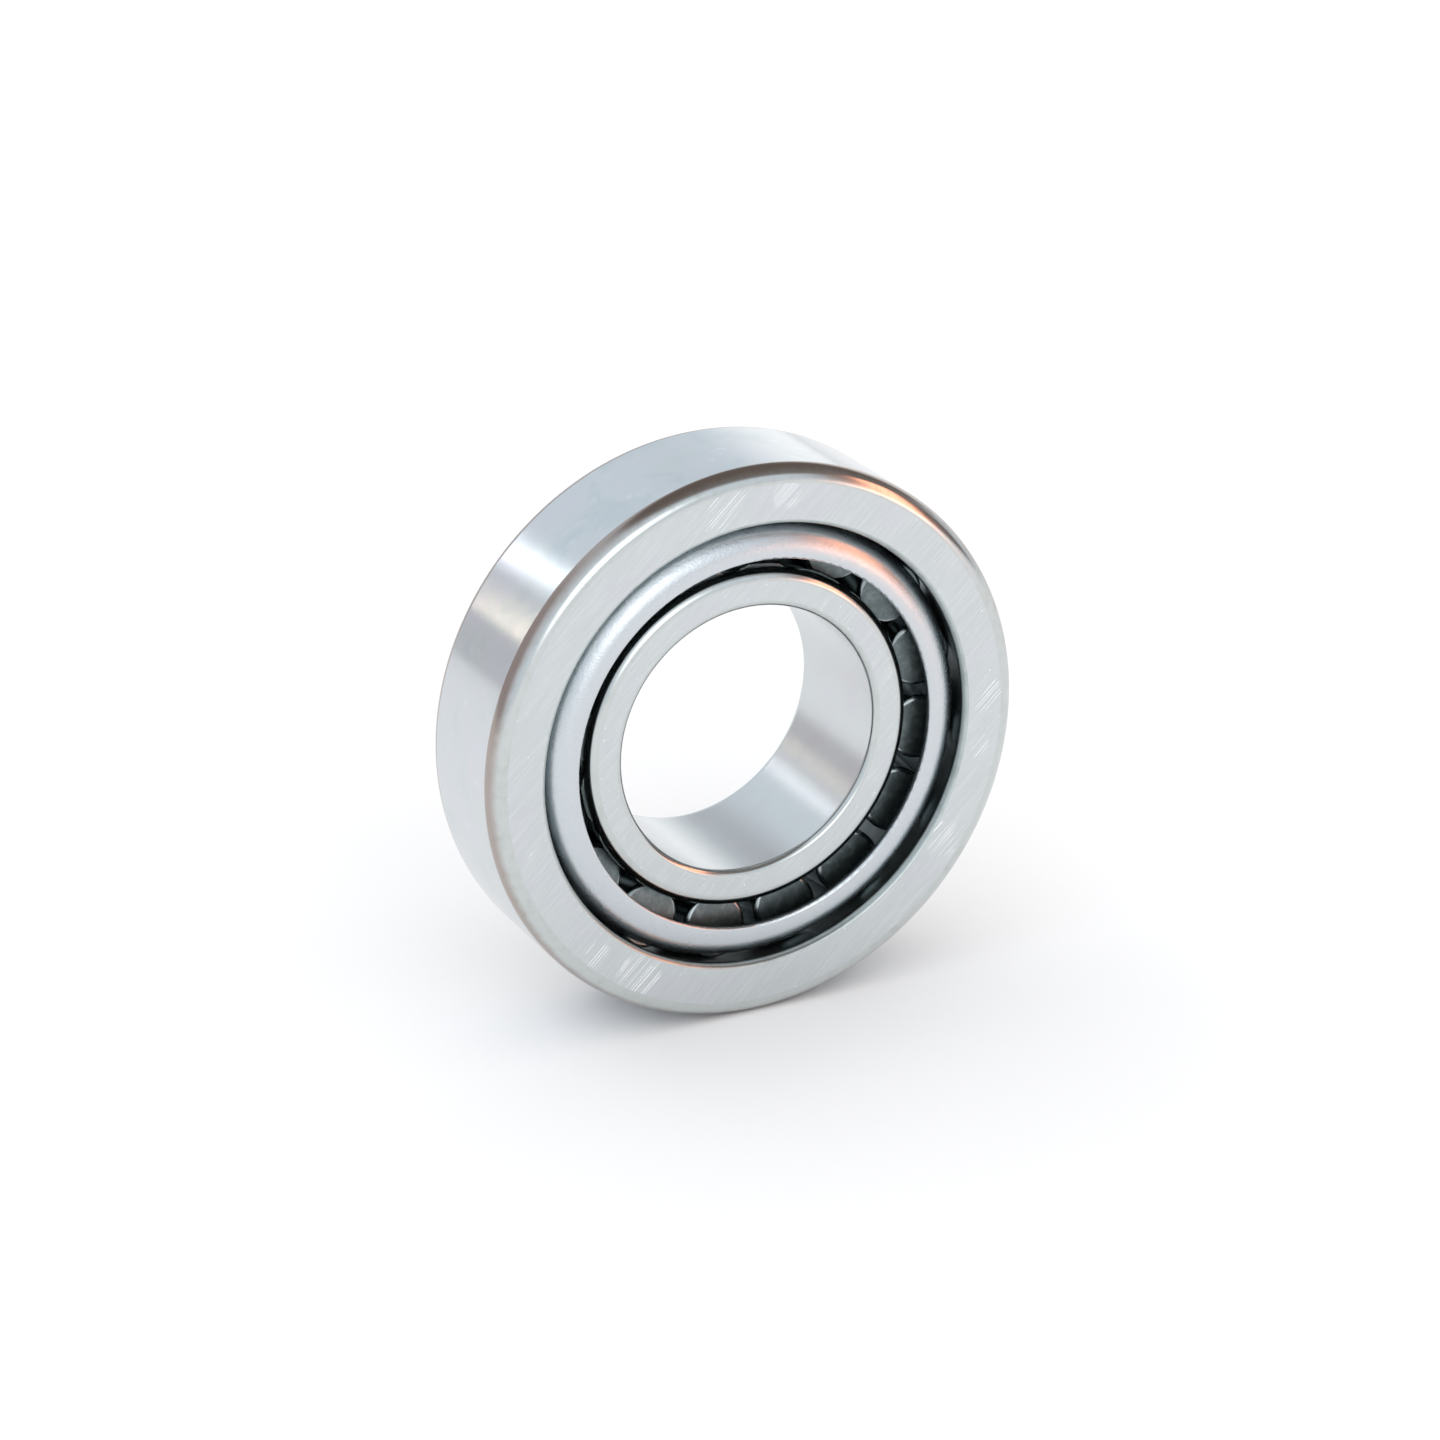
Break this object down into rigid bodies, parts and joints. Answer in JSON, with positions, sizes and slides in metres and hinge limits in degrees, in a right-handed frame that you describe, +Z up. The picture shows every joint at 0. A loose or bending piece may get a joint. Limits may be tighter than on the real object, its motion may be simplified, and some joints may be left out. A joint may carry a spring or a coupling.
{
  "type": "tapered roller bearing",
  "caption": "Single-row tapered roller bearing: separable cup, ribbed cone, pressed window cage and tapered rollers that carry radial and one-way axial load.",
  "frame": {"origin": "middle of the bearing's overall box, on the bearing axis", "axes": "+Y along the bearing axis from the cup's back face (the rollers' small ends) towards the cone's back face (the large thrust rib); +Z up as the bearing stands on its rim"},
  "size_m": [0.052, 0.0162, 0.052],
  "materials": {
    "cup_steel": "ground, satin on the outside and the faces",
    "cone_steel": "ground, satin",
    "cage_sheet": "pressed sheet steel, tumbled bright",
    "roller_steel": "ground, fine satin"
  },
  "bodies": {
    "cup": {"cup": "cup_steel"},
    "cone": {"cone": "cone_steel"},
    "cage": {"cage": "cage_sheet"},
    "roller_01": {"roller_01": "roller_steel"},
    "roller_02": {"roller_02": "roller_steel"},
    "roller_03": {"roller_03": "roller_steel"},
    "roller_04": {"roller_04": "roller_steel"},
    "roller_05": {"roller_05": "roller_steel"},
    "roller_06": {"roller_06": "roller_steel"},
    "roller_07": {"roller_07": "roller_steel"},
    "roller_08": {"roller_08": "roller_steel"},
    "roller_09": {"roller_09": "roller_steel"},
    "roller_10": {"roller_10": "roller_steel"},
    "roller_11": {"roller_11": "roller_steel"},
    "roller_12": {"roller_12": "roller_steel"},
    "roller_13": {"roller_13": "roller_steel"},
    "roller_14": {"roller_14": "roller_steel"},
    "roller_15": {"roller_15": "roller_steel"},
    "roller_16": {"roller_16": "roller_steel"}
  },
  "joints": [
    {"name": "cone_spin", "type": "hinge", "parent": "cup", "child": "cone", "pos_m": [0, 0, 0], "axis": [0, 1, 0], "continuous": true},
    {"name": "cage_orbit", "type": "hinge", "parent": "cup", "child": "cage", "pos_m": [0, 0, 0], "axis": [0, 1, 0], "continuous": true},
    {"name": "roller_01_spin", "type": "hinge", "parent": "cage", "child": "roller_01", "pos_m": [0.01874, 0.00021, 0.00467], "axis": [0.2023, 0.978, 0.0504], "continuous": true},
    {"name": "roller_02_spin", "type": "hinge", "parent": "cage", "child": "roller_02", "pos_m": [0.01553, 0.00021, 0.01149], "axis": [0.1676, 0.978, 0.124], "continuous": true},
    {"name": "roller_03_spin", "type": "hinge", "parent": "cage", "child": "roller_03", "pos_m": [0.00995, 0.00021, 0.01656], "axis": [0.1074, 0.978, 0.1787], "continuous": true},
    {"name": "roller_04_spin", "type": "hinge", "parent": "cage", "child": "roller_04", "pos_m": [0.00286, 0.00021, 0.01911], "axis": [0.0308, 0.978, 0.2062], "continuous": true},
    {"name": "roller_05_spin", "type": "hinge", "parent": "cage", "child": "roller_05", "pos_m": [-0.00467, 0.00021, 0.01874], "axis": [-0.0504, 0.978, 0.2023], "continuous": true},
    {"name": "roller_06_spin", "type": "hinge", "parent": "cage", "child": "roller_06", "pos_m": [-0.01149, 0.00021, 0.01553], "axis": [-0.124, 0.978, 0.1676], "continuous": true},
    {"name": "roller_07_spin", "type": "hinge", "parent": "cage", "child": "roller_07", "pos_m": [-0.01656, 0.00021, 0.00995], "axis": [-0.1787, 0.978, 0.1074], "continuous": true},
    {"name": "roller_08_spin", "type": "hinge", "parent": "cage", "child": "roller_08", "pos_m": [-0.01911, 0.00021, 0.00286], "axis": [-0.2062, 0.978, 0.0308], "continuous": true},
    {"name": "roller_09_spin", "type": "hinge", "parent": "cage", "child": "roller_09", "pos_m": [-0.01874, 0.00021, -0.00467], "axis": [-0.2023, 0.978, -0.0504], "continuous": true},
    {"name": "roller_10_spin", "type": "hinge", "parent": "cage", "child": "roller_10", "pos_m": [-0.01553, 0.00021, -0.01149], "axis": [-0.1676, 0.978, -0.124], "continuous": true},
    {"name": "roller_11_spin", "type": "hinge", "parent": "cage", "child": "roller_11", "pos_m": [-0.00995, 0.00021, -0.01656], "axis": [-0.1074, 0.978, -0.1787], "continuous": true},
    {"name": "roller_12_spin", "type": "hinge", "parent": "cage", "child": "roller_12", "pos_m": [-0.00286, 0.00021, -0.01911], "axis": [-0.0308, 0.978, -0.2062], "continuous": true},
    {"name": "roller_13_spin", "type": "hinge", "parent": "cage", "child": "roller_13", "pos_m": [0.00467, 0.00021, -0.01874], "axis": [0.0504, 0.978, -0.2023], "continuous": true},
    {"name": "roller_14_spin", "type": "hinge", "parent": "cage", "child": "roller_14", "pos_m": [0.01149, 0.00021, -0.01553], "axis": [0.124, 0.978, -0.1676], "continuous": true},
    {"name": "roller_15_spin", "type": "hinge", "parent": "cage", "child": "roller_15", "pos_m": [0.01656, 0.00021, -0.00995], "axis": [0.1787, 0.978, -0.1074], "continuous": true},
    {"name": "roller_16_spin", "type": "hinge", "parent": "cage", "child": "roller_16", "pos_m": [0.01911, 0.00021, -0.00286], "axis": [0.2062, 0.978, -0.0308], "continuous": true}
  ],
  "couplings": [
    {"joint": "cage_orbit", "follows": "cone_spin", "ratio": 0.41811},
    {"joint": "roller_01_spin", "follows": "cone_spin", "ratio": -2.9056},
    {"joint": "roller_02_spin", "follows": "cone_spin", "ratio": -2.9056},
    {"joint": "roller_03_spin", "follows": "cone_spin", "ratio": -2.9056},
    {"joint": "roller_04_spin", "follows": "cone_spin", "ratio": -2.9056},
    {"joint": "roller_05_spin", "follows": "cone_spin", "ratio": -2.9056},
    {"joint": "roller_06_spin", "follows": "cone_spin", "ratio": -2.9056},
    {"joint": "roller_07_spin", "follows": "cone_spin", "ratio": -2.9056},
    {"joint": "roller_08_spin", "follows": "cone_spin", "ratio": -2.9056},
    {"joint": "roller_09_spin", "follows": "cone_spin", "ratio": -2.9056},
    {"joint": "roller_10_spin", "follows": "cone_spin", "ratio": -2.9056},
    {"joint": "roller_11_spin", "follows": "cone_spin", "ratio": -2.9056},
    {"joint": "roller_12_spin", "follows": "cone_spin", "ratio": -2.9056},
    {"joint": "roller_13_spin", "follows": "cone_spin", "ratio": -2.9056},
    {"joint": "roller_14_spin", "follows": "cone_spin", "ratio": -2.9056},
    {"joint": "roller_15_spin", "follows": "cone_spin", "ratio": -2.9056},
    {"joint": "roller_16_spin", "follows": "cone_spin", "ratio": -2.9056}
  ]
}
